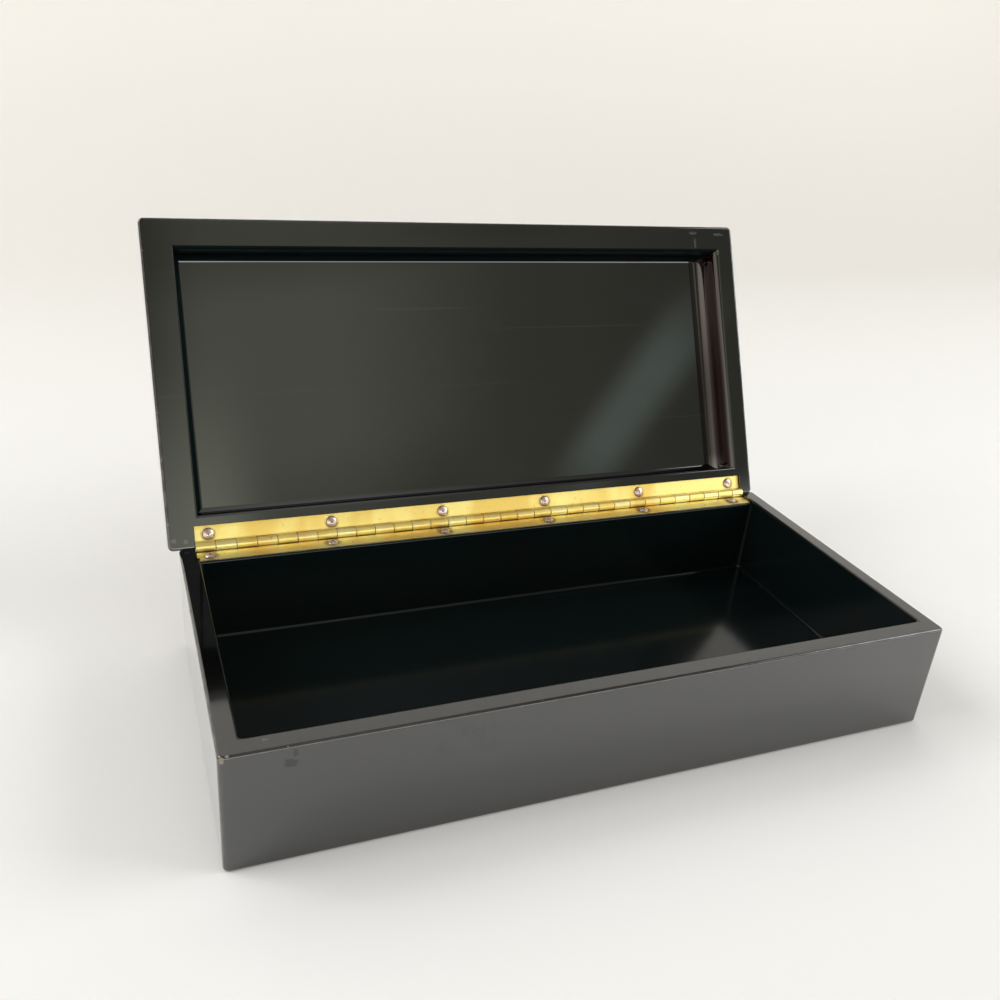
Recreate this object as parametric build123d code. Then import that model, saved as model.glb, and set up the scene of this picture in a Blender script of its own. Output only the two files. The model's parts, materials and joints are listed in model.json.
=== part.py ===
"""Black lacquered trinket box with a full length brass hinge, standing open.

Millimetres. +X runs along the box to the right, +Y to the back, +Z up.
The origin is the centre of the underside. Solids are written as the box
stands: lid swung back on its stop.
"""
import os
from math import asin, cos, sin, sqrt

from build123d import *

# Base, outside and walls
base_length = 200.0
base_depth = 94.9
base_height = 32.5
front_wall_thickness = 5.6
left_wall_thickness = 5.3
right_wall_thickness = 4.8
floor_thickness = 5.2

# Lid, outside and rails
lid_left_overhang = 2.8
lid_right_overhang = -0.3
lid_front_overhang = 1.9
lid_recess_depth = 9.3
lid_panel_thickness = 3.7
lid_front_rail_width = 9.0
lid_left_rail_width = 9.2
lid_right_rail_width = 8.1
lid_rail_behind_leaf = 3.1

# Edges as the lacquer leaves them
corner_radius = 1.5
arris_radius = 0.8
base_inner_arris_radius = 0.6
base_inner_corner_radius = 1.2
base_cove_radius = 1.0
lid_roundover_radius = 0.8
lid_cove_radius = 2.0
lid_right_roundover_radius = 2.2
lid_right_cove_radius = 3.5

# Hinge: two rolled leaves on one pin
open_angle = 115.4
closed_gap = 0.3
stop_gap = 0.3
pin_setback = 0.5
barrel_radius = 1.5
leaf_thickness = 0.5
leaf_width = 6.2
leaf_edge_margin = 0.2
pin_clearance = 0.07
barrel_relief = 0.3
notch_clearance = 0.25
curl_slit = 0.12
hinge_left_inset = 4.8
hinge_right_inset = 5.2
hinge_end_clearance = 0.2
knuckle_pitch = 6.0
knuckle_gap = 0.3
first_knuckle_length = 5.6
shortest_knuckle = 2.0

# Nails
nail_inset = 3.7
nail_spacing = 36.0
lid_nail_shift = 0.9
lid_end_nail_shift = 0.7
nail_from_pin = 3.7
nail_head_radius = 1.7
nail_head_rim = 0.12
nail_head_height = 0.62
nail_shank_radius = 0.7
nail_length = 9.0
nail_point = 1.6
nail_hole_clearance = 0.05
dimple_radius = 1.9
dimple_depth = 0.42

# Worked out from the sizes above
half_length = base_length / 2
half_depth = base_depth / 2
pin_y = half_depth - pin_setback
pin_z = base_height + closed_gap / 2
back_wall_thickness = pin_setback + leaf_width + leaf_edge_margin
lid_back_rail_width = pin_setback + leaf_width + lid_rail_behind_leaf
lid_bottom = base_height + closed_gap
lid_thickness = lid_recess_depth + lid_panel_thickness
leaf_face = barrel_radius - leaf_thickness
hinge_start = -half_length + hinge_left_inset
hinge_end = half_length - hinge_right_inset
hinge_length = hinge_end - hinge_start
pin_radius = barrel_radius - leaf_thickness - pin_clearance
beyond = 5.0


def block(x, y, z):
    """A box given by its lowest and highest value along each axis."""
    size = [high - low for low, high in (x, y, z)]
    centre = [(high + low) / 2 for low, high in (x, y, z)]
    return Pos(*centre) * Box(*size)


def rounded_block(x, y, z):
    """A box with its upright corners and then its top and bottom edges rounded."""
    body = block(x, y, z)
    body = fillet(body.edges().filter_by(Axis.Z), corner_radius)
    flat_faces = body.faces().filter_by(Axis.Z)
    rims = flat_faces.sort_by(Axis.Z)[0].edges() + flat_faces.sort_by(Axis.Z)[-1].edges()
    return fillet(rims, arris_radius)


def lengthwise_rod(radius, centre_y, centre_z, x_from, x_to):
    """A round bar along X."""
    bar = Rot(0, 90, 0) * Cylinder(radius, x_to - x_from)
    return Pos((x_from + x_to) / 2, centre_y, centre_z) * bar


def mitred_regions(x, y, sides):
    """Plan outlines of four mitred sides and of the panel that they frame.

    sides holds a width, a before and an after for each side. The mitre runs
    from the outer corner to a point short of the inner one by the before of
    its two sides, then to a point past it by their after.
    """
    corners = {}
    for name, cx, cy, sx, sy, beside, along in (
        ("front_left", x[0], y[0], 1, 1, "left", "front"),
        ("front_right", x[1], y[0], -1, 1, "right", "front"),
        ("back_right", x[1], y[1], -1, -1, "right", "back"),
        ("back_left", x[0], y[1], 1, -1, "left", "back"),
    ):
        wx, before_x, after_x = sides[beside]
        wy, before_y, after_y = sides[along]
        knee = Vector(cx + sx * (wx - before_x), cy + sy * (wy - before_y))
        toe = Vector(cx + sx * (wx + after_x), cy + sy * (wy + after_y))
        outer = Vector(cx, cy)
        corners[name] = (outer - (knee - outer).normalized() * beyond, knee, toe)
    regions = {}
    for side, first, second in (
        ("front", "front_left", "front_right"),
        ("right", "front_right", "back_right"),
        ("back", "back_right", "back_left"),
        ("left", "back_left", "front_left"),
    ):
        regions[side] = list(corners[first]) + list(reversed(corners[second]))
    regions["panel"] = [corners[name][2] for name in corners]
    return regions


def cut_to_region(body, outline, z):
    """The part of a body that stands over a plan outline."""
    points = [(p.X, p.Y) for p in outline]
    face = make_face(Polyline(*points, close=True))
    prism = Pos(0, 0, z[0]) * extrude(face, amount=z[1] - z[0])
    return body & prism


def hinge_cuts(side):
    """Wood removed for a leaf and the barrel, for the base (-1) or the lid (+1)."""
    x = (hinge_start - hinge_end_clearance, hinge_end + hinge_end_clearance)
    seat = sorted((pin_z + side * barrel_radius, pin_z - side * beyond))
    leaf_reach = leaf_width + leaf_edge_margin
    rebate = block(x, (pin_y - leaf_reach, half_depth + beyond), seat)
    channel = lengthwise_rod(barrel_radius + barrel_relief, pin_y, pin_z, *x)
    return rebate + channel


def leaf_edge_round():
    """Rounded edge of the back wall under the base leaf, run out over the inner corners."""
    inner = half_depth - back_wall_thickness
    seat = pin_z - barrel_radius
    x = (-half_length + left_wall_thickness, half_length - right_wall_thickness)
    y = (inner - base_inner_corner_radius, inner + arris_radius)
    strip = block(x, y, (seat - arris_radius, base_height + beyond))
    return strip - lengthwise_rod(arris_radius, y[1], seat - arris_radius, *x)


def stop_cut(side):
    """Bevel along the back edge, on which the open lid comes to rest."""
    half_turn = side * open_angle / 2
    reach = 2 * half_length + 2 * beyond
    slab = Pos(0, beyond, -side * (beyond / 2 - stop_gap / 2)) * Box(reach, 3 * beyond, beyond)
    return Pos(0, pin_y, pin_z) * Rot(half_turn, 0, 0) * slab


def nail_places(side):
    """Places of the nails along X, in the base's (-1) or the lid's (+1) leaf."""
    count = int((hinge_length - 2 * nail_inset) / nail_spacing) + 1
    shift, end_shift = (0, 0) if side < 0 else (lid_nail_shift, lid_end_nail_shift)
    places = [hinge_start + nail_inset + shift + i * nail_spacing for i in range(count)]
    return [places[0] - end_shift, *places[1:-1], places[-1] + end_shift]


def over_leaf(shape, x, side):
    """Puts a shape made on +Z from the leaf's face on the base's (-1) or the lid's (+1) leaf."""
    turn = 0 if side < 0 else 180
    return Pos(x, pin_y - nail_from_pin, pin_z + side * leaf_face) * Rot(turn, 0, 0) * shape


def pilot_hole():
    """Hole in the wood for a nail, from the leaf's face down."""
    depth = nail_length + nail_hole_clearance
    hole = Cylinder(nail_shank_radius + nail_hole_clearance, depth)
    return Pos(0, 0, -depth / 2) * hole


def base_carcass():
    """The base's wood as one body, before it is parted at its joints."""
    body = rounded_block((-half_length, half_length), (-half_depth, half_depth), (0, base_height))
    inside = block(
        (-half_length + left_wall_thickness, half_length - right_wall_thickness),
        (-half_depth + front_wall_thickness, half_depth - back_wall_thickness),
        (floor_thickness, base_height + beyond),
    )
    inside = fillet(inside.edges().filter_by(Axis.Z), base_inner_corner_radius)
    inside = fillet(inside.faces().sort_by(Axis.Z)[0].edges(), base_cove_radius)
    body = body - inside
    rim = body.faces().filter_by(Axis.Z).filter_by(lambda f: f.center().Z > base_height - arris_radius)[0]
    body = fillet(rim.inner_wires()[0].edges(), base_inner_arris_radius)
    body = body - hinge_cuts(-1) - leaf_edge_round() - stop_cut(-1)
    for x in nail_places(-1):
        body = body - over_leaf(pilot_hole(), x, -1)
    return body


def recess_section(low, high, point):
    """Section of the lid's recess, rounded over at the rim and coved at the floor.

    low and high hold a wall's place and its two radii.
    """
    rim = lid_bottom
    floor = lid_bottom + lid_recess_depth
    bend = sqrt(0.5)
    edges = []
    for (wall, over, cove), sign in ((low, 1), (high, -1)):
        mouth = wall - sign * over
        edges.append(Line(point(mouth, rim - beyond), point(mouth, rim)))
        edges.append(ThreePointArc(
            point(mouth, rim),
            point(mouth + sign * over * bend, rim + over * (1 - bend)),
            point(wall, rim + over),
        ))
        edges.append(Line(point(wall, rim + over), point(wall, floor - cove)))
        edges.append(ThreePointArc(
            point(wall, floor - cove),
            point(wall + sign * cove * (1 - bend), floor - cove * (1 - bend)),
            point(wall + sign * cove, floor),
        ))
    feet = [low[0] + low[2], high[0] - high[2]]
    mouths = [low[0] - low[1], high[0] + high[1]]
    edges.append(Line(*[point(foot, floor) for foot in feet]))
    edges.append(Line(*[point(mouth, rim - beyond) for mouth in mouths]))
    return make_face(edges)


def lid_sides():
    """Each rail's width, and its radii at the rim and at the foot of the recess."""
    radii = (lid_roundover_radius, lid_cove_radius)
    return {
        "left": (lid_left_rail_width, *radii),
        "right": (lid_right_rail_width, lid_right_roundover_radius, lid_right_cove_radius),
        "front": (lid_front_rail_width, *radii),
        "back": (lid_back_rail_width, *radii),
    }


def lid_outline():
    """The lid's reach in X and in Y, closed."""
    x = (-half_length - lid_left_overhang, half_length + lid_right_overhang)
    y = (-half_depth - lid_front_overhang, half_depth)
    return x, y


def lid_carcass():
    """The lid's wood as one body, closed, before it is parted at its joints."""
    x, y = lid_outline()
    body = rounded_block(x, y, (lid_bottom, lid_bottom + lid_thickness))
    left, right, front, back = [lid_sides()[side] for side in ("left", "right", "front", "back")]
    walls_x = ((x[0] + left[0], *left[1:]), (x[1] - right[0], *right[1:]))
    walls_y = ((y[0] + front[0], *front[1:]), (y[1] - back[0], *back[1:]))
    across = recess_section(*walls_x, lambda u, z: (u, 0, z))
    along = recess_section(*walls_y, lambda u, z: (0, u, z))
    across = extrude(across, amount=base_depth, dir=(0, 1, 0), both=True)
    along = extrude(along, amount=base_length, dir=(1, 0, 0), both=True)
    body = body - (across & along) - hinge_cuts(1) - stop_cut(1)
    for x_nail in nail_places(1):
        body = body - over_leaf(pilot_hole(), x_nail, 1)
    return body


def knuckle_spans():
    """Start and end of each knuckle of the cut strip, the first one the lid's."""
    whole = int((hinge_length - first_knuckle_length - shortest_knuckle) / knuckle_pitch) + 1
    marks = [hinge_start]
    marks += [hinge_start + first_knuckle_length + i * knuckle_pitch for i in range(whole)]
    marks.append(hinge_end)
    spans = []
    for i in range(len(marks) - 1):
        low = marks[i] + (knuckle_gap / 2 if i else 0)
        high = marks[i + 1] - (knuckle_gap / 2 if i < len(marks) - 2 else 0)
        spans.append((low, high))
    return spans


def knuckle(low, high, side):
    """One rolled knuckle, tight on the pin on the base leaf and free to turn on the lid's."""
    bore_radius = pin_radius + (pin_clearance if side > 0 else 0)
    bore = lengthwise_rod(bore_radius, 0, 0, low - beyond, high + beyond)
    roll = lengthwise_rod(barrel_radius, 0, 0, low, high)
    tongue_y = (-(barrel_radius + notch_clearance), 0)
    tongue = block((low, high), tongue_y, sorted((side * leaf_face, side * barrel_radius)))
    slit_z = sorted((side * (leaf_face - curl_slit), side * leaf_face))
    slit = block((low - beyond, high + beyond), (-barrel_radius, -leaf_thickness), slit_z)
    return roll + tongue - bore - slit


def hinge_leaf(side):
    """A leaf with every other knuckle, about the pin, for the base (-1) or the lid (+1)."""
    plate_y = (-leaf_width, -(barrel_radius + notch_clearance))
    leaf = block((hinge_start, hinge_end), plate_y, sorted((side * leaf_face, side * barrel_radius)))
    spans = knuckle_spans()
    own = spans[0::2] if side > 0 else spans[1::2]
    leaf = leaf + [knuckle(low, high, side) for low, high in own]
    leaf = Pos(0, pin_y, pin_z) * leaf
    hole_radius = nail_shank_radius + nail_hole_clearance
    dimple = Pos(0, 0, -dimple_depth / 2) * Cone(hole_radius, dimple_radius, dimple_depth)
    hole = Cylinder(hole_radius, 4 * leaf_thickness)
    for x in nail_places(side):
        leaf = leaf - over_leaf(dimple + hole, x, side)
    return leaf


def nail():
    """A round headed nail, its head seated in the leaf's dimple, its axis on Z."""
    hole_radius = nail_shank_radius + nail_hole_clearance
    rise = dimple_depth / (dimple_radius - hole_radius)
    seat_inner = -dimple_depth - nail_hole_clearance * rise
    seat_outer = -dimple_depth + (nail_head_radius - hole_radius) * rise
    rim = seat_outer + nail_head_rim
    crown = nail_head_height - rim
    ball = (nail_head_radius**2 + crown**2) / (2 * crown)
    half_sweep = asin(nail_head_radius / ball) / 2
    on_dome = (ball * sin(half_sweep), 0, nail_head_height - ball * (1 - cos(half_sweep)))
    outline = [
        Line((0, 0, -nail_length), (nail_shank_radius, 0, -nail_length + nail_point)),
        Line((nail_shank_radius, 0, -nail_length + nail_point), (nail_shank_radius, 0, seat_inner)),
        Line((nail_shank_radius, 0, seat_inner), (nail_head_radius, 0, seat_outer)),
        Line((nail_head_radius, 0, seat_outer), (nail_head_radius, 0, rim)),
        ThreePointArc((nail_head_radius, 0, rim), on_dome, (0, 0, nail_head_height)),
        Line((0, 0, nail_head_height), (0, 0, -nail_length)),
    ]
    return revolve(make_face(outline), axis=Axis.Z)


def nails(side):
    """One leaf's nails, as separate solids."""
    return Compound(children=[over_leaf(nail(), x, side) for x in nail_places(side)])


def swung_open(shape):
    """A piece of the lid, carried from closed to its open stop."""
    return Pos(0, pin_y, pin_z) * Rot(-open_angle, 0, 0) * Pos(0, -pin_y, -pin_z) * shape


def write(node, shape):
    """Writes one node, in the box's frame."""
    export_step(shape, f"parts/{node}.step")


def build_base():
    """The base's walls, floor, leaf, pin and nails."""
    x = (-half_length, half_length)
    y = (-half_depth, half_depth)
    widths = {"left": left_wall_thickness, "right": right_wall_thickness,
              "front": front_wall_thickness, "back": back_wall_thickness}
    sides = {side: (width, base_inner_arris_radius, base_cove_radius) for side, width in widths.items()}
    regions = mitred_regions(x, y, sides)
    carcass = base_carcass()
    names = {"front": "front_wall", "back": "back_wall", "left": "left_wall",
             "right": "right_wall", "panel": "floor_panel"}
    for region, node in names.items():
        write(node, cut_to_region(carcass, regions[region], (-beyond, base_height + beyond)))
    write("base_hinge_leaf", hinge_leaf(-1))
    write("base_leaf_nails", nails(-1))
    write("hinge_pin", lengthwise_rod(pin_radius, pin_y, pin_z, hinge_start, hinge_end))


def build_lid():
    """The lid's rails, panel, leaf and nails, swung open."""
    x, y = lid_outline()
    regions = mitred_regions(x, y, lid_sides())
    carcass = lid_carcass()
    names = {"front": "lid_front_rail", "back": "lid_back_rail", "left": "lid_left_rail",
             "right": "lid_right_rail", "panel": "lid_panel"}
    height = (lid_bottom - beyond, lid_bottom + lid_thickness + beyond)
    for region, node in names.items():
        write(node, swung_open(cut_to_region(carcass, regions[region], height)))
    write("lid_hinge_leaf", swung_open(hinge_leaf(1)))
    write("lid_leaf_nails", swung_open(nails(1)))


os.makedirs("parts", exist_ok=True)
build_base()
build_lid()
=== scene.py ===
"""Black lacquered trinket box standing open on its long brass hinge.

Metres, in the frame's own axes: +X along the box, +Y to the hinge, +Z up.
"""
import json
import bpy
import numpy as np
from mathutils import Matrix, Vector


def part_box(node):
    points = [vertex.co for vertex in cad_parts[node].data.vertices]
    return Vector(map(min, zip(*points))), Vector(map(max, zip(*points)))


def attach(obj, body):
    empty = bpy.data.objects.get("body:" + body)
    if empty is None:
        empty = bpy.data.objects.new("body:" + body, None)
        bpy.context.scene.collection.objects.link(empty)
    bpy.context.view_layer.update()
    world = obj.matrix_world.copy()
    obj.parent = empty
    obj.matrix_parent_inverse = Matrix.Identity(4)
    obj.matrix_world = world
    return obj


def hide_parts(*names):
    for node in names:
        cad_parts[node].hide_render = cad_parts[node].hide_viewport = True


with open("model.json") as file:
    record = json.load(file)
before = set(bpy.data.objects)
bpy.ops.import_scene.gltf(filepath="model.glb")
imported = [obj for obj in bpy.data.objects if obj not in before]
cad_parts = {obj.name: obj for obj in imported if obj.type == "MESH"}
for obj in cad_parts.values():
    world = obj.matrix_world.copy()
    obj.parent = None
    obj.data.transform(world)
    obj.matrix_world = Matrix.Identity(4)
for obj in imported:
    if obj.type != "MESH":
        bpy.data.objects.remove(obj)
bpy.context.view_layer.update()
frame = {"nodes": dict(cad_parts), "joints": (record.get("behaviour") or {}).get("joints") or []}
mm = 0.001


# Base: four mitred walls round a floor panel, thin hardwood sprayed with black
# lacquer over the joints. The solids have its rounded edges and coved corners.
def srgb(red, green, blue):
    """Linear colour of a screen colour given from 0 to 255."""
    parts = np.array([red, green, blue]) / 255
    linear = np.where(parts < 0.04045, parts / 12.92, ((parts + 0.055) / 1.055) ** 2.4)
    return (*[float(part) for part in linear], 1.0)


class Nodes:
    """Short calls that add nodes to one node tree."""

    def __init__(self, tree):
        self.tree = tree

    def add(self, kind, links=(), **settings):
        node = self.tree.nodes.new(kind)
        for key, value in settings.items():
            setattr(node, key, value)
        for socket, source in dict(links).items():
            self.join(source, node.inputs[socket])
        return node

    def join(self, source, socket):
        """Links a socket to its source, or sets it where the source is a plain value."""
        if isinstance(source, bpy.types.NodeSocket):
            self.tree.links.new(source, socket)
        else:
            socket.default_value = source

    def math(self, operation, *sources):
        return self.add("ShaderNodeMath", enumerate(sources), operation=operation).outputs[0]

    def ramp(self, source, low, high, to_low=0.0, to_high=1.0):
        """Carries low..high over to to_low..to_high, with soft ends."""
        links = {"Value": source, "From Min": low, "From Max": high, "To Min": to_low, "To Max": to_high}
        return self.add("ShaderNodeMapRange", links, interpolation_type="SMOOTHSTEP").outputs[0]

    def split(self, vector):
        """The vector's X, Y and Z."""
        return self.add("ShaderNodeSeparateXYZ", {0: vector}).outputs

    def blend(self, share, first, second):
        """Colour that goes from first to second as share goes from 0 to 1."""
        return self.add("ShaderNodeMix", {0: share, 6: first, 7: second}, data_type="RGBA").outputs[2]


class Finish(Nodes):
    """A material in the making: its nodes, its shader and the object coordinates."""

    def __init__(self, name):
        self.material = bpy.data.materials.new(name)
        self.material.use_nodes = True
        super().__init__(self.material.node_tree)
        self.shader = self.tree.nodes["Principled BSDF"]
        self.place = self.add("ShaderNodeTexCoord").outputs["Object"]

    def set(self, **values):
        """Sets or links the shader's sockets, their spaces written as underscores."""
        for key, value in values.items():
            self.join(value, self.shader.inputs[key.replace("_", " ")])

    def turned(self, location=(0, 0, 0), rotation=(0, 0, 0), scale=(1, 1, 1)):
        """Object coordinates, scaled, then turned, then moved."""
        links = {"Vector": self.place, "Location": location, "Rotation": rotation, "Scale": scale}
        return self.add("ShaderNodeMapping", links).outputs[0]

    def noise(self, scale, detail=2.0, roughness=0.5, distortion=0.0, place=None):
        """Fractal noise from 0 to 1 over the surface, its scale in cells per metre."""
        links = {"Vector": place or self.place, "Scale": scale, "Detail": detail,
                 "Roughness": roughness, "Distortion": distortion}
        return self.add("ShaderNodeTexNoise", links).outputs["Fac"]

    def bump(self, height, distance, under=None):
        """Surface relief of a height from 0 to 1 times a distance in metres."""
        links = {"Height": height, "Distance": distance, "Strength": 1.0}
        if under:
            links["Normal"] = under
        return self.add("ShaderNodeBump", links).outputs[0]

    def marks(self, place, spots):
        """1 inside any of the spots, which are ragged ellipsoids, given in mm by middle and half axes."""
        field = 0.0
        for middle, reach in spots:
            links = {"Vector": place, "Location": [-m / r for m, r in zip(middle, reach)],
                     "Scale": [1 / (r * mm) for r in reach]}
            scaled = self.add("ShaderNodeMapping", links).outputs[0]
            away = self.add("ShaderNodeVectorMath", {0: scaled}, operation="LENGTH").outputs["Value"]
            field = self.math("MAXIMUM", field, self.math("SUBTRACT", 1.0, away))
        ragged = self.math("MULTIPLY", self.math("SUBTRACT", self.noise(1300, 3, 0.6), 0.5), 0.9)
        return self.ramp(self.math("ADD", field, ragged), 0.2, 0.45)

    def depth_inside(self, place, low, high):
        """Distance in from the nearer of a box's two faces, along each axis."""
        to_middle = [-(a + b) / 2 for a, b in zip(low, high)]
        reach = [(b - a) / 2 for a, b in zip(low, high)]
        centred = self.add("ShaderNodeVectorMath", {0: place, 1: to_middle})
        away = self.add("ShaderNodeVectorMath", {0: centred.outputs[0]}, operation="ABSOLUTE")
        inward = self.add("ShaderNodeVectorMath", {0: reach, 1: away.outputs[0]}, operation="SUBTRACT")
        return self.split(inward.outputs[0])


jet_black = (0.0012, 0.0014, 0.0013, 1)
hazy_black = (0.0034, 0.0037, 0.0035, 1)
bare_black = (0.0030, 0.0062, 0.0062, 1)
dark_red_wood = (0.0110, 0.0030, 0.0024, 1)
smudged_black = (0.0045, 0.0048, 0.0046, 1)
scratched_black = (0.012, 0.012, 0.0115, 1)
rubbed_black = (0.016, 0.015, 0.0135, 1)
grey_dust = (0.05, 0.048, 0.045, 1)
grey_scuff = (0.075, 0.072, 0.066, 1)
chipped_wood = (0.24, 0.21, 0.17, 1)


def lacquer_finish(name, place_of, outer, hollow=None, hollow_rough=0.14, foot=None, under=1.45, coat=1.8,
                   thin=None, dull_top=None, scuffs=(), dull_spots=(), chips=()):
    """Sprayed black: a clear coat over black, with orange peel, dust, smudges, rubbed edges and marks.

    outer is the box that the wood fills, and hollow the part of it that the
    clear coat didn't reach, both in the coordinates that place_of makes of the
    object's. The distance from the nearest edge is the middle one of the three
    distances in from outer's faces. The coat comes back between the two heights
    of foot. under and coat are the refractive indices of the black and of the
    coat. thin is a box in which the wood shows through dark red, with a
    function for the share of the coat that is left there. Between the two
    heights of dull_top the coat loses half its gloss to handling.
    """
    finish = Finish(name)
    place = place_of(finish)
    out = finish.depth_inside(place, *outer)
    lesser = finish.math("MINIMUM", out[0], out[1])
    greater = finish.math("MAXIMUM", out[0], out[1])
    from_edge = finish.math("MAXIMUM", lesser, finish.math("MINIMUM", greater, out[2]))
    rubbed = finish.math("MULTIPLY", finish.ramp(from_edge, 0.3 * mm, 0.9 * mm, 1, 0),
                         finish.ramp(finish.noise(260, 4, 0.6), 0.35, 0.6, 0.25, 1))
    chip = finish.math("MULTIPLY", finish.ramp(from_edge, 0.3 * mm, 0.6 * mm, 1, 0),
                       finish.ramp(finish.noise(1100, 2, 0.6), 0.68, 0.71))
    if chips:
        chip = finish.math("MAXIMUM", chip, finish.marks(place, chips))
    haze = finish.ramp(finish.noise(40, 6, 0.66, 0.5), 0.44, 0.74)
    smudge = finish.math("MULTIPLY", finish.ramp(finish.noise(31, 2, 0.5), 0.62, 0.70),
                         finish.ramp(finish.noise(210, 4, 0.65), 0.40, 0.62))
    dust = finish.ramp(finish.noise(4600, 1, 0.5), 0.77, 0.82)
    drawn_out = finish.turned(rotation=(0.3, 0.5, 0.9), scale=(0.03, 4, 4))
    scratch = finish.ramp(finish.noise(210, 1, 0.3, place=drawn_out), 0.765, 0.79)
    colour = finish.blend(haze, jet_black, hazy_black)
    rough = finish.ramp(haze, 0, 1, 0.11, 0.19)
    worn = finish.math("MAXIMUM", finish.math("MULTIPLY", smudge, 0.22),
                       finish.math("MULTIPLY", rubbed, 0.5))
    if dull_spots:
        worn = finish.math("MAXIMUM", worn, finish.math("MULTIPLY", finish.marks(place, dull_spots), 0.42))
    gloss = finish.ramp(finish.math("MAXIMUM", chip, worn), 0, 1, 1, 0)
    if hollow:
        deep = finish.depth_inside(place, *hollow)
        within = finish.math("MINIMUM", deep[0], finish.math("MINIMUM", deep[1], deep[2]))
        bare = finish.ramp(within, -0.3 * mm, 0.2 * mm)
        if foot:
            bare = finish.math("MULTIPLY", bare, finish.ramp(finish.split(place)[2], *foot, 1, 0))
        colour = finish.blend(bare, colour, bare_black)
        rough = finish.ramp(bare, 0, 1, rough, hollow_rough)
        gloss = finish.math("MULTIPLY", gloss, finish.ramp(bare, 0, 1, 1, 0))
    if thin:
        thin_box, coat_left = thin
        deep = finish.depth_inside(place, *thin_box)
        thinly = finish.ramp(finish.math("MINIMUM", deep[0], deep[2]), 0, 0.8 * mm)
        colour = finish.blend(thinly, colour, dark_red_wood)
        lost = finish.math("MULTIPLY", thinly, finish.math("SUBTRACT", 1.0, coat_left(finish, place)))
        gloss = finish.math("MULTIPLY", gloss, finish.math("SUBTRACT", 1.0, lost))
    if dull_top:
        gloss = finish.math("MULTIPLY", gloss, finish.ramp(finish.split(place)[2], *dull_top, 1, 0.5))
    colour = finish.blend(smudge, colour, smudged_black)
    colour = finish.blend(scratch, colour, scratched_black)
    colour = finish.blend(dust, colour, grey_dust)
    colour = finish.blend(rubbed, colour, rubbed_black)
    if scuffs:
        scuffed = finish.math("MULTIPLY", finish.marks(place, scuffs),
                              finish.ramp(finish.noise(2600, 2, 0.6), 0.4, 0.6, 0.3, 1))
        colour = finish.blend(scuffed, colour, grey_scuff)
    colour = finish.blend(chip, colour, chipped_wood)
    peel = finish.bump(finish.noise(900, 1.5, 0.5), 1.2e-6)
    waves = finish.bump(finish.noise(30, 1, 0.4), 10e-6, peel)
    nicks = finish.bump(chip, -40e-6, waves)
    rough = finish.math("ADD", rough, finish.math("MULTIPLY", rubbed, 0.12))
    finish.set(Base_Color=colour, Roughness=rough, IOR=under, Normal=nicks)
    finish.set(Coat_Weight=gloss, Coat_Roughness=0.05, Coat_IOR=coat)
    return finish.material


far_away = 1.0
base_walls = {"left": 5.3 * mm, "right": 4.8 * mm, "front": 5.6 * mm, "back": 6.9 * mm}
base_floor = 5.2 * mm
spray_reach = 0.5 * mm
back_spray_reach = 1.5 * mm
base_low = np.minimum(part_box("left_wall")[0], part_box("front_wall")[0])
base_high = np.maximum(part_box("right_wall")[1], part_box("back_wall")[1])
hollow_low = (base_low[0] + base_walls["left"] - spray_reach,
              base_low[1] + base_walls["front"] - spray_reach, base_low[2] + base_floor - spray_reach)
hollow_high = (base_high[0] - base_walls["right"] + spray_reach,
               base_high[1] - base_walls["back"] + back_spray_reach, far_away)
rim_handled = (base_high[2] - 0.15 * mm, base_high[2] - 0.02 * mm)
rim_scuffs = [((-89.4, -43.8, 32.5), (1.1, 0.6, 0.6))]
front_smudge = [((-84.6, -47.5, 27.9), (2.4, 1.0, 1.9)), ((-83.5, -47.5, 30.4), (0.9, 0.8, 1.6))]
corner_chips = [((-99.2, -47.3, 31.6), (0.9, 0.8, 1.4)), ((-97.9, -47.0, 32.4), (0.6, 0.5, 0.5))]
lacquer = lacquer_finish("black lacquer", lambda finish: finish.place, (base_low, base_high),
                         (hollow_low, hollow_high), dull_top=rim_handled, scuffs=rim_scuffs,
                         dull_spots=front_smudge, chips=corner_chips)
for node in ["front_wall", "back_wall", "left_wall", "right_wall", "floor_panel"]:
    frame["nodes"][node].data.materials[0] = lacquer


# Base leaf of the hinge: half hard brass strip 0.5 mm thick, notched along one
# edge, its tongues rolled round the pin, and dimpled where the nails go in.
pin_low, pin_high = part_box("hinge_pin")
leaf_low, leaf_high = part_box("base_hinge_leaf")
pin_y = (pin_low.y + pin_high.y) / 2
pin_z = (pin_low.z + pin_high.z) / 2
hinge_start, hinge_end = leaf_low.x, leaf_high.x
barrel_radius = pin_z - leaf_low.z
leaf_width = pin_y - leaf_low.y
sheet = 0.5 * mm
notch_gap = 0.05 * mm
knuckle_pitch = 6.0 * mm
knuckle_gap = 0.24 * mm
first_knuckle = 5.6 * mm
shortest_knuckle = 2.0 * mm
curl_sweep = np.radians(303)
curl_steps = 30
longest_cell = 2.0 * mm
widest_cell = 0.7 * mm
sheet_edge_round = 0.07 * mm
nails_per_leaf = 6
nail_from_pin = 3.7 * mm
nail_head_radius = 1.7 * mm
nail_hole_radius = 0.75 * mm
dimple_radius = 1.9 * mm
dimple_depth = 0.42 * mm
open_angle = np.radians(frame["joints"][0]["range_deg"][1])
tarnished_brass = srgb(222, 170, 84)
# The brown round the nails on the brass is soiling and painted shade.
grime_and_shade_brown = srgb(138, 108, 72)


def nail_places(node, end_shift=0.0):
    """X of each of a node's nails: evenly spaced, but the two at the ends moved outward."""
    low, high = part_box(node)
    margin = nail_head_radius + end_shift
    places = np.linspace(low.x + margin, high.x - margin, nails_per_leaf)
    places[0] -= end_shift
    places[-1] += end_shift
    return places


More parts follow.
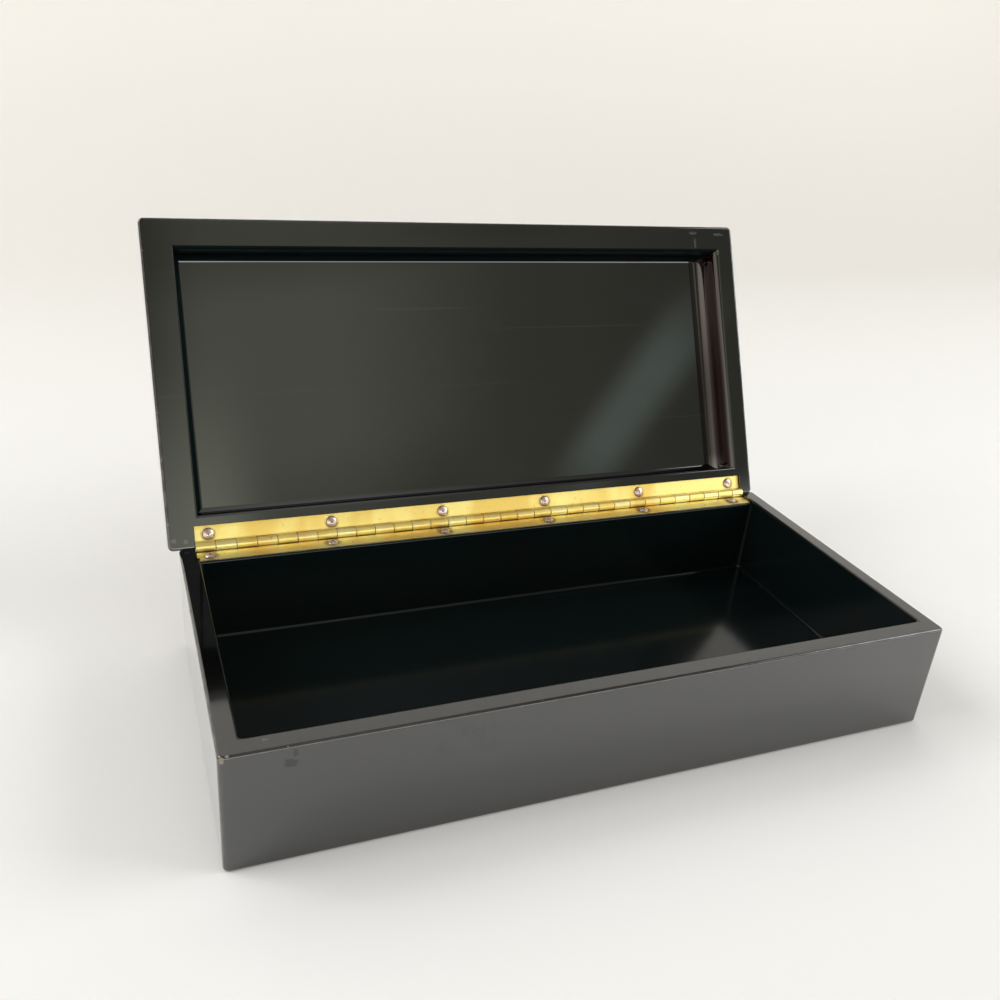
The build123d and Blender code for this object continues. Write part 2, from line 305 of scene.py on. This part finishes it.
def knuckle_spans():
    """Start and end of every knuckle along the strip, the first of them the lid's."""
    inner = np.arange(hinge_start + first_knuckle, hinge_end - shortest_knuckle, knuckle_pitch)
    starts = np.concatenate([[hinge_start], inner + knuckle_gap / 2])
    ends = np.concatenate([inner - knuckle_gap / 2, [hinge_end]])
    return starts, ends


def with_fill(lines, longest):
    """Sorted lines, with more put in evenly where two of them lie further apart than longest."""
    lines = np.unique(np.round(lines, 7))
    parts = [np.linspace(a, b, int(np.ceil((b - a) / longest)), endpoint=False)
             for a, b in zip(lines[:-1], lines[1:])]
    return np.concatenate(parts + [lines[-1:]])


def rolled_leaf(name, nails_at, own_first):
    """A leaf as a sheet on a grid of X along the hinge and s across the sheet.

    From s = 0 at its free edge it runs flat to under the pin, and then round the
    pin on a circle, outer radius the barrel's. Past the notch's edge only the
    cells of its own knuckles are kept. Round each nail the square rings of the
    grid are drawn into circles, and inside the dimple's radius the sheet goes
    down a cone. The sheet is then given its thickness along its normal. It is
    worked out lying over the base, free edge to the front, underside at the
    barrel's lowest point.
    """
    rings = np.array([0, 0.3, 0.55, 0.75, 0.95, 1.2, 1.45, 1.7, 1.9, 1.94]) * mm
    rings = np.concatenate([-rings[:0:-1], rings])
    notch = leaf_width - barrel_radius - notch_gap
    starts, ends = knuckle_spans()
    own = slice(0 if own_first else 1, None, 2)
    x = np.concatenate([starts, ends] + [nail + rings for nail in nails_at])
    x = with_fill(x[(x >= hinge_start) & (x <= hinge_end)], longest_cell)
    arc = np.linspace(0, curl_sweep, curl_steps + 1)[1:]
    nail_row = leaf_width - nail_from_pin
    flat = np.concatenate([[0, notch, leaf_width], nail_row + rings])
    flat = with_fill(flat[(flat >= 0) & (flat <= leaf_width)], widest_cell)
    middle = barrel_radius - sheet / 2
    y = np.concatenate([flat - leaf_width, middle * np.sin(arc)])
    z = np.concatenate([np.full(len(flat), -middle), -middle * np.cos(arc)])
    lean = np.concatenate([np.zeros(len(flat)), arc])
    grid_x, grid_y = np.meshgrid(x, y, indexing="ij")
    grid_z, grid_lean = np.broadcast_to(z, grid_x.shape).copy(), np.broadcast_to(lean, grid_x.shape)
    on_flat = np.broadcast_to(np.arange(len(y)) < len(flat), grid_x.shape)
    hole = np.zeros(grid_x.shape, bool)
    for nail in nails_at:
        across, along = grid_x - nail, grid_y + nail_from_pin
        square = np.maximum(abs(across), abs(along))
        near = on_flat & (square < rings[-1] - 1e-6)
        pull = np.where(near, square / np.maximum(np.hypot(across, along), 1e-9), 1)
        grid_x, grid_y = nail + across * pull, -nail_from_pin + along * pull
        down = np.clip((dimple_radius - square) / (dimple_radius - nail_hole_radius), 0, 1)
        grid_z = grid_z - np.where(near, dimple_depth * down, 0)
        hole |= near & (square < nail_hole_radius - 1e-6)
    normal_y, normal_z = -np.sin(grid_lean), np.cos(grid_lean)
    upper = np.stack([grid_x, grid_y + normal_y * sheet / 2, grid_z + normal_z * sheet / 2], -1)
    lower = np.stack([grid_x, grid_y - normal_y * sheet / 2, grid_z - normal_z * sheet / 2], -1)
    centre_x = (x[:-1] + x[1:]) / 2
    in_knuckle = ((centre_x[:, None] > starts[own]) & (centre_x[:, None] < ends[own])).any(1)
    row = np.arange(len(y) - 1)
    plate_rows = row < np.searchsorted(flat, notch - 1e-7)
    in_hole = hole[:-1, :-1] | hole[1:, 1:] | hole[1:, :-1] | hole[:-1, 1:]
    kept = (plate_rows | in_knuckle[:, None]) & ~in_hole
    points, faces = thick_sheet(upper, lower, kept)
    mesh = bpy.data.meshes.new(name)
    mesh.from_pydata(points.tolist(), [], faces.tolist())
    away = np.hypot(points[:, :1] - nails_at, points[:, 1:2] + nail_from_pin).min(1)
    keep_on_points(mesh, "from_nail", away / nail_head_radius)
    return mesh


def keep_on_points(mesh, name, values):
    """Gives a mesh a number at each point, for its material to read."""
    mesh.attributes.new(name, "FLOAT", "POINT").data.foreach_set("value", values)


def thick_sheet(upper, lower, kept):
    """Quads over the kept cells of two layers, and walls where a kept cell has no kept neighbour."""
    rows, columns = kept.shape
    index = np.arange((rows + 1) * (columns + 1)).reshape(rows + 1, columns + 1)
    under = index + index.size
    a, b, c, d = index[:-1, :-1], index[1:, :-1], index[1:, 1:], index[:-1, 1:]
    faces = [np.stack([a, b, c, d], -1)[kept], np.stack([a, d, c, b], -1)[kept] + index.size]
    fence = np.pad(kept, 1)
    for (first, second), other in (((a, b), fence[1:-1, :-2]), ((b, c), fence[2:, 1:-1]),
                                   ((c, d), fence[1:-1, 2:]), ((d, a), fence[:-2, 1:-1])):
        edge = kept & ~other
        start, end = first[edge], second[edge]
        faces.append(np.stack([end, start, under.flat[start], under.flat[end]], -1))
    faces = np.concatenate(faces)
    points = np.concatenate([upper.reshape(-1, 3), lower.reshape(-1, 3)])
    used, faces = np.unique(faces, return_inverse=True)
    return points[used], faces.reshape(-1, 4)


def put_in_place(mesh, turn=0.0):
    """Turns a mesh about the pin and carries it there from the origin."""
    mesh.transform(Matrix.Translation((0, pin_y, pin_z)) @ Matrix.Rotation(turn, 4, "X"))


def add_piece(name, mesh, material, body, nodes):
    """Puts a mesh in the scene as a piece that rides on a body in place of the solids it stands for."""
    piece = bpy.data.objects.new(name, mesh)
    bpy.context.scene.collection.objects.link(piece)
    mesh.materials.append(material)
    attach(piece, body)
    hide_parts(*nodes)
    return piece


def soften_edges(piece, width):
    """Shades a mesh smooth and rounds every edge that turns by more than 40 degrees."""
    piece.data.polygons.foreach_set("use_smooth", np.ones(len(piece.data.polygons), bool))
    bevel = piece.modifiers.new("edges", "BEVEL")
    bevel.width = width
    bevel.segments = 2
    bevel.limit_method = "ANGLE"
    bevel.angle_limit = np.radians(40)
    bevel.harden_normals = True


def brass_finish(name, bright, dull, rough, grime_and_shade, grime_and_shade_reach):
    """Rolled and polished brass: streaks along the strip, painted reflection as bright and dull patches
    along it, dents, tarnish, and soiling with painted shade round the nails.

    rough is the least and the most roughness of its clouds, grime_and_shade how
    strong the soiling and painted shade round the nails are and grime_and_shade_reach how far they go, in
    radii of the nail's head.
    """
    finish = Finish(name)
    streaks = finish.noise(60, 4, 0.6, place=finish.turned(scale=(0.12, 6, 6)))
    # Painted reflection: bright and dull patches along the strip stand in for the mirrored room.
    painted_reflection_patches = finish.noise(62, 2, 0.5, 0.4, place=finish.turned(scale=(1, 0.3, 0.3)))
    cloud = finish.noise(120, 3, 0.55, 0.3)
    tone = finish.blend(finish.ramp(painted_reflection_patches, 0.40, 0.60), bright, dull)
    tone = finish.blend(finish.ramp(streaks, 0.52, 0.72, 0, 0.5), tone, dull)
    colour = finish.blend(finish.ramp(finish.noise(700, 3, 0.6), 0.60, 0.8), tone, tarnished_brass)
    from_nail = finish.add("ShaderNodeAttribute", attribute_name="from_nail").outputs["Fac"]
    # Painted shade, with soiling: a brown ring in the crevice round each nail head, strongest at its edge.
    ring = finish.math("MULTIPLY", finish.ramp(from_nail, 1.05, grime_and_shade_reach, grime_and_shade, 0),
                       finish.ramp(finish.noise(420, 3, 0.6), 0.35, 0.6, 0.35, 1))
    colour = finish.blend(ring, colour, grime_and_shade_brown)
    roughness = finish.math("ADD", finish.ramp(cloud, 0.25, 0.75, *rough),
                            finish.ramp(streaks, 0.3, 0.7, 0, 0.06))
    dents = finish.bump(finish.noise(110, 2, 0.45), 60e-6)
    lengthwise = finish.turned(scale=(0.06, 1, 1))
    scratches = finish.bump(finish.noise(900, 3, 0.6, place=lengthwise), 4e-6, dents)
    finish.set(Base_Color=colour, Metallic=0.88, Roughness=roughness, Normal=scratches)
    return finish.material


base_nails_at = nail_places("base_leaf_nails")
base_leaf = rolled_leaf("base_leaf_rolled", base_nails_at, own_first=False)
put_in_place(base_leaf)
base_brass = brass_finish("polished brass lying", srgb(255, 243, 172), srgb(246, 218, 134),
                          rough=(0.30, 0.42), grime_and_shade=0.9, grime_and_shade_reach=2.0)
base_leaf = add_piece("base_leaf_rolled", base_leaf, base_brass, "base", ["base_hinge_leaf"])
soften_edges(base_leaf, sheet_edge_round)


# Nails: plated steel with low domed heads, driven through the leaf's holes into
# the wood. Each head keeps the small pit of its making and sits a little askew.
nail_shank_radius = 0.7 * mm
nail_length = 9.0 * mm
nail_point = 1.6 * mm
nail_rim = 0.14 * mm
nail_height = 0.62 * mm
pit_radius = 0.34 * mm
pit_depth = 0.09 * mm
nail_sides = 40
most_tilt = np.radians(2.2)
bright_nickel = srgb(238, 222, 212)
coppery_nickel = srgb(196, 168, 150)
# The brown on the nail heads is soiling and painted shade.
soil_and_shade_brown = srgb(96, 74, 58)
chance = np.random.default_rng(5)


def lathed(profile, turns):
    """A closed profile of (radius, height), both ends on the axis, carried round it.

    Point (k, j) is (r_k cos t_j, r_k sin t_j, h_k). The first and last points
    are single poles, joined to their rings by triangles.
    """
    radius, height = np.asarray(profile).T
    angle = np.linspace(0, 2 * np.pi, turns, endpoint=False)
    ring_r, ring_h = radius[1:-1, None], height[1:-1, None]
    rings = np.stack(np.broadcast_arrays(ring_r * np.cos(angle), ring_r * np.sin(angle), ring_h), -1)
    points = np.concatenate([[[0, 0, height[0]]], rings.reshape(-1, 3), [[0, 0, height[-1]]]])
    count = len(radius) - 2
    index = 1 + np.arange(count * turns).reshape(count, turns)
    after = np.roll(index, -1, axis=1)
    quads = np.stack([index[:-1], index[1:], after[1:], after[:-1]], -1).reshape(-1, 4)
    top = np.stack([np.zeros(turns, int), index[0], after[0]], -1)
    last = len(points) - 1
    bottom = np.stack([np.full(turns, last), after[-1], index[-1]], -1)
    return points, quads.tolist() + top.tolist() + bottom.tolist()


def nail_profile():
    """Pit, dome, rim, cone that beds in the dimple, shank and point, from the top down."""
    slope = dimple_depth / (dimple_radius - nail_hole_radius)
    seat_outer = -dimple_depth + (nail_head_radius - nail_hole_radius) * slope
    seat_inner = -dimple_depth
    rim_top = seat_outer + nail_rim
    crown = nail_height - rim_top
    ball = (nail_head_radius**2 + crown**2) / (2 * crown)
    sweep = np.arcsin(nail_head_radius / ball)
    pit = [(share * pit_radius, nail_height - pit_depth * (1 - share**2)) for share in (0, 0.5, 0.85)]
    angles = np.linspace(np.arcsin(1.15 * pit_radius / ball), sweep - 0.02, 11)
    dome = [(ball * np.sin(a), nail_height - ball * (1 - np.cos(a))) for a in angles]
    rim = [(nail_head_radius, rim_top - 0.03 * mm), (nail_head_radius, seat_outer + 0.04 * mm),
           (nail_head_radius - 0.04 * mm, seat_outer)]
    shank = [(nail_shank_radius + 0.03 * mm, seat_inner), (nail_shank_radius, seat_inner - 0.05 * mm),
             (nail_shank_radius, nail_point - nail_length), (0, -nail_length)]
    return pit + dome + rim + shank


def nail_row(name, places, upwards):
    """One leaf's nails, each turned about its axis and tilted by chance, heads up or down."""
    points, faces = lathed(nail_profile(), nail_sides)
    from_axis = np.tile(np.hypot(points[:, 0], points[:, 1]) / nail_head_radius, len(places))
    all_points, all_faces = [], []
    face_of_leaf = barrel_radius - sheet
    for i, x in enumerate(places):
        spin, toward, tilt = chance.uniform(0, 2 * np.pi, 2).tolist() + [chance.uniform(0.3, 1) * most_tilt]
        turn = Matrix.Rotation(toward, 3, "Z") @ Matrix.Rotation(tilt, 3, "X")
        turn = turn @ Matrix.Rotation(spin, 3, "Z")
        if not upwards:
            turn = Matrix.Rotation(np.pi, 3, "X") @ turn
        seat = np.array([x, -nail_from_pin, -face_of_leaf if upwards else face_of_leaf])
        all_points.append(points @ np.array(turn).T + seat)
        all_faces += [[index + i * len(points) for index in face] for face in faces]
    mesh = bpy.data.meshes.new(name)
    mesh.from_pydata(np.concatenate(all_points).tolist(), [], all_faces)
    mesh.polygons.foreach_set("use_smooth", np.ones(len(all_faces), bool))
    keep_on_points(mesh, "from_axis", from_axis)
    return mesh


def nail_finish():
    """Dull nickel with a trace of copper, scuffed by the hammer, soiled and with painted shade in the pit
    and at the rim.
    """
    finish = Finish("plated nail")
    wear = finish.ramp(finish.noise(1100, 4, 0.6), 0.38, 0.66)
    from_axis = finish.add("ShaderNodeAttribute", attribute_name="from_axis").outputs["Fac"]
    # Painted shade, with soiling: darker in the pit and toward the rim of each head.
    soil_and_shade = finish.math("ADD", finish.ramp(from_axis, 0.14, 0.32, 0.75, 0),
                       finish.ramp(from_axis, 0.80, 0.98, 0, 0.8))
    colour = finish.blend(wear, bright_nickel, coppery_nickel)
    colour = finish.blend(soil_and_shade, colour, soil_and_shade_brown)
    scuffs = finish.bump(finish.noise(1700, 3, 0.6), 20e-6)
    finish.set(Base_Color=colour, Metallic=0.85, Normal=scuffs)
    finish.set(Roughness=finish.ramp(wear, 0, 1, 0.26, 0.42))
    return finish.material


plated = nail_finish()
base_nails = nail_row("base_nails_domed", base_nails_at, upwards=True)
put_in_place(base_nails)
add_piece("base_nails_domed", base_nails, plated, "base", ["base_leaf_nails"])


# Hinge pin: drawn steel wire, cut flush with the ends of the strip. It shows only
# at its own two ends and in the narrow gaps between the knuckles.
bright_steel = srgb(198, 196, 190)
grey_steel = srgb(152, 150, 145)


def pin_finish():
    finish = Finish("drawn wire")
    draw = finish.noise(2500, 2, 0.5, place=finish.turned(scale=(0.03, 1, 1)))
    finish.set(Base_Color=finish.blend(draw, bright_steel, grey_steel), Metallic=1.0)
    finish.set(Roughness=finish.ramp(draw, 0.3, 0.7, 0.28, 0.45))
    return finish.material


frame["nodes"]["hinge_pin"].data.materials[0] = pin_finish()


# Lid: four mitred rails round a panel, hollowed to match the base, in the same
# lacquer. Its sizes and places here are those of the lid when it is shut.
lid_walls = {"left": 9.2 * mm, "right": 8.1 * mm, "front": 9.0 * mm}
lid_start, lid_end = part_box("lid_front_rail")[0].x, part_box("lid_front_rail")[1].x
lid_front, lid_back = -49.35 * mm, 47.45 * mm
lid_rim, lid_floor, lid_top = 32.8 * mm, 42.1 * mm, 45.8 * mm


def as_closed(finish):
    """Object coordinates swung about the pin to where the lid is when it is shut."""
    pin = Vector((0, pin_y, pin_z))
    move = pin - Matrix.Rotation(open_angle, 3, "X") @ pin
    return finish.turned(location=move, rotation=(open_angle, 0, 0))


lid_outer = ((lid_start, lid_front, lid_rim), (lid_end, lid_back, lid_top))
lid_spray_reach = 0.9 * mm
lid_hollow = ((lid_start + lid_walls["left"] - lid_spray_reach,
               lid_front + lid_walls["front"] - lid_spray_reach, -far_away), (far_away, far_away, far_away))
cove_foot = (lid_floor - 0.12 * mm, lid_floor - 0.02 * mm)
lid_scuffs = [((83.9, -43.2, 32.8), (0.7, 2.3, 0.7)), ((83.3, -46.9, 32.8), (2.3, 0.7, 0.7)),
              ((93.8, -46.5, 32.8), (3.0, 0.7, 0.7)), ((93.2, -40.1, 32.8), (0.7, 1.6, 0.7)),
              ((-101.2, 44.6, 32.8), (1.2, 1.0, 0.7)), ((-97.8, 45.0, 32.8), (1.2, 1.0, 0.7))]
lid_layers = {"under": 1.05, "coat": 2.05}
red_wall = ((-far_away, -far_away, lid_rim + 0.1 * mm),
            (lid_end - lid_walls["right"] + 2.6 * mm, far_away, lid_floor + 1.0 * mm))


def right_wall_coat(finish, place):
    """Share of the coat left on the right wall: it falls toward the hinge, is less at the rounded
    rim, and comes back in the corner by the hinge."""
    _, along, height = finish.split(place)
    wall = finish.math("MULTIPLY", finish.ramp(along, -32 * mm, 10 * mm, 0.90, 0.36),
                       finish.ramp(height, lid_rim, lid_rim + 3 * mm, 0.6, 1))
    corner = finish.math("MULTIPLY", finish.ramp(along, 31 * mm, 37 * mm, 0, 0.5),
                         finish.ramp(height, lid_rim + 3 * mm, lid_rim + 6 * mm))
    return finish.math("ADD", wall, corner)


shaded_lacquer = lacquer_finish("black lacquer of the dark rails", as_closed, lid_outer, lid_hollow, 0.30,
                                foot=cove_foot, scuffs=lid_scuffs, **lid_layers)
lid_lacquer = lacquer_finish("black lacquer of the lid", as_closed, lid_outer,
                             scuffs=lid_scuffs, **lid_layers)
reddish_lacquer = lacquer_finish("black lacquer of the right rail", as_closed, lid_outer,
                                 thin=(red_wall, right_wall_coat), scuffs=lid_scuffs, **lid_layers)
for node, finish in (("lid_front_rail", shaded_lacquer), ("lid_left_rail", shaded_lacquer),
                     ("lid_back_rail", lid_lacquer), ("lid_right_rail", reddish_lacquer),
                     ("lid_panel", lid_lacquer)):
    frame["nodes"][node].data.materials[0] = finish


# Lid leaf: the same strip cut the other way, with the first knuckle, lying on
# the lid. It is made closed, over the base leaf, and swung up with the lid.
lid_end_nail_shift = 0.7 * mm
lid_nails_at = nail_places("lid_leaf_nails", lid_end_nail_shift)
lid_leaf = rolled_leaf("lid_leaf_rolled", lid_nails_at, own_first=True)
lid_leaf.transform(Matrix.Scale(-1, 4, (0, 0, 1)))
lid_leaf.flip_normals()
put_in_place(lid_leaf, -open_angle)
lid_brass = brass_finish("polished brass standing", srgb(255, 236, 146), srgb(240, 208, 112),
                         rough=(0.34, 0.44), grime_and_shade=0.5, grime_and_shade_reach=1.55)
lid_leaf = add_piece("lid_leaf_rolled", lid_leaf, lid_brass, "lid", ["lid_hinge_leaf"])
soften_edges(lid_leaf, sheet_edge_round)
lid_nails = nail_row("lid_nails_domed", lid_nails_at, upwards=False)
put_in_place(lid_nails, -open_angle)
add_piece("lid_nails_domed", lid_nails, plated, "lid", ["lid_leaf_nails"])


# Stage: a pale floor that rises into a backdrop behind, greyed toward the back with
# painted shade, a soft light at either side, and a room whose own light differs by direction, for the
# lacquer to mirror.
floor_reach = 3.0
backdrop_start = 0.55
backdrop_radius = 0.5
backdrop_height = 2.5
near_white = srgb(247, 247, 246)
painted_shade_grey = srgb(222, 220, 215)


def stage_mesh():
    """Profile in Y and Z, flat and then a quarter circle up, carried along X."""
    turn = np.linspace(0, np.pi / 2, 33)
    wall_y = backdrop_start + backdrop_radius
    y = np.concatenate([[-floor_reach], backdrop_start + backdrop_radius * np.sin(turn), [wall_y]])
    z = np.concatenate([[0], backdrop_radius * (1 - np.cos(turn)), [backdrop_height]])
    x = np.linspace(-floor_reach, floor_reach, 3)
    grid_x, grid_y = np.meshgrid(x, y, indexing="ij")
    grid_z = np.broadcast_to(z, grid_x.shape)
    points = np.stack([grid_x, grid_y, grid_z], -1).reshape(-1, 3)
    rows, columns = grid_x.shape
    first = (np.arange(rows - 1)[:, None] * columns + np.arange(columns - 1)).ravel()
    faces = np.stack([first, first + columns, first + columns + 1, first + 1], 1)
    mesh = bpy.data.meshes.new("studio_floor")
    mesh.from_pydata(points.tolist(), [], faces.tolist())
    mesh.polygons.foreach_set("use_smooth", np.ones(len(faces), bool))
    return mesh


floor = bpy.data.objects.new("studio_floor", stage_mesh())
bpy.context.scene.collection.objects.link(floor)
pale = Finish("pale floor")
# Painted shade: the floor and backdrop go from near white to warm grey toward the back.
farther_painted_shade = pale.ramp(pale.split(pale.place)[1], -0.1, 0.9)
pale.set(Base_Color=pale.blend(farther_painted_shade, near_white, painted_shade_grey))
pale.set(Roughness=0.9, Specular_IOR_Level=0.1)
floor.data.materials.append(pale.material)


def soft_light(name, place, power):
    """A square panel light a metre wide, facing the origin."""
    data = bpy.data.lights.new(name, "AREA")
    data.shape = "SQUARE"
    data.size = 1.0
    data.energy = power
    light = bpy.data.objects.new(name, data)
    turn = (-Vector(place)).to_track_quat("-Z", "Y").to_matrix().to_4x4()
    light.matrix_world = Matrix.Translation(place) @ turn
    bpy.context.scene.collection.objects.link(light)


soft_light("left panel", (-1.25, 0.35, 1.15), 14)
soft_light("right panel", (1.36, -0.34, 0.94), 12)


white_light = (1.0, 1.0, 1.0, 1)
yellowish_light = (1.0, 1.02, 0.82, 1)
greenish_light = (0.85, 1.0, 0.88, 1)
pinkish_light = (1.0, 0.90, 0.82, 1)


def room_light(world):
    """The room's radiance by direction: five parts added up, less some shade.

    The glow stands in front, fades to the right and dips at one height. The
    low part brightens its left foot, and the shade lies to the right of that.
    The lowest part is near the floor, the side part at the left, and a narrow
    band slants up to the right.
    """
    world.use_nodes = True
    sky = Nodes(world.node_tree)
    direction = sky.add("ShaderNodeTexCoord").outputs["Generated"]
    x, y, z = sky.split(direction)

    def product(*parts):
        """The parts multiplied together."""
        whole = parts[0]
        for part in parts[1:]:
            whole = sky.math("MULTIPLY", whole, part)
        return whole

    def away(value, middle):
        """How far a value is from its middle."""
        return sky.math("ABSOLUTE", sky.math("SUBTRACT", value, middle))

    glow = product(sky.ramp(x, -0.02, 0.10, 0.12, 0.50), sky.ramp(x, 0.18, 0.42, 1, 0.44),
                   sky.ramp(x, 0.42, 0.56, 1, 0.76), sky.ramp(away(z, 0.66), 0.03, 0.08, 0.7, 1))
    low = product(sky.ramp(x, 0.06, 0.14, 0.54, 0), sky.ramp(z, 0.38, 0.58, 1, 0))
    shade = product(sky.ramp(x, 0.10, 0.16), sky.ramp(x, 0.28, 0.38, 1, 0),
                    sky.ramp(z, 0.38, 0.48, 0.14, 0))
    lowest = product(sky.ramp(z, 0.26, 0.34, 1, 0), sky.ramp(y, -0.5, -0.2, 1, 0),
                     sky.ramp(x, -0.3, 0.0, 0.6, 2.2))
    side = product(sky.ramp(x, -0.45, -0.25, 0.66, 0), sky.ramp(x, -1.0, -0.78, 0.62, 1),
                   sky.ramp(y, -0.05, 0.25, 1, 0), sky.ramp(z, 0.5, 0.62, 1, 0))
    band = product(sky.ramp(away(sky.math("SUBTRACT", x, z), 0.06), 0.01, 0.055, 0.36, 0),
                   sky.ramp(away(sky.math("ADD", x, z), 0.92), 0.05, 0.16, 1, 0))
    total = sky.math("SUBTRACT", glow, shade)
    for part in (low, lowest, side, band):
        total = sky.math("ADD", total, part)
    in_front = product(sky.ramp(y, -0.6, -0.4, 1, 0), sky.ramp(z, 0.28, 0.38))
    colour = sky.blend(in_front, white_light, yellowish_light)
    colour = sky.blend(sky.ramp(band, 0, 0.3), colour, greenish_light)
    colour = sky.blend(sky.ramp(side, 0, 0.6), colour, pinkish_light)
    background = sky.tree.nodes["Background"]
    sky.join(total, background.inputs["Strength"])
    sky.join(colour, background.inputs["Color"])


world = bpy.data.worlds.new("studio")
bpy.context.scene.world = world
room_light(world)


# Camera: where the straight edges of the box say that it stood, above and to the
# left of the open box, near enough for a strong perspective.
camera_place = (-0.112617, -0.213292, 0.171114)
camera_aim = (-0.004569, 0.036180, 0.044270)
camera_roll = 4.966
camera_lens = 34.62

camera_data = bpy.data.cameras.new("camera")
camera_data.lens = camera_lens
camera_data.sensor_width = 36.0
camera_data.clip_start = 0.01
camera = bpy.data.objects.new("camera", camera_data)
view = (Vector(camera_aim) - Vector(camera_place)).to_track_quat("-Z", "Y").to_matrix().to_4x4()
roll = Matrix.Rotation(np.radians(camera_roll), 4, "Z")
camera.matrix_world = Matrix.Translation(camera_place) @ view @ roll
bpy.context.scene.collection.objects.link(camera)
bpy.context.scene.camera = camera
bpy.context.scene.view_settings.view_transform = "Standard"
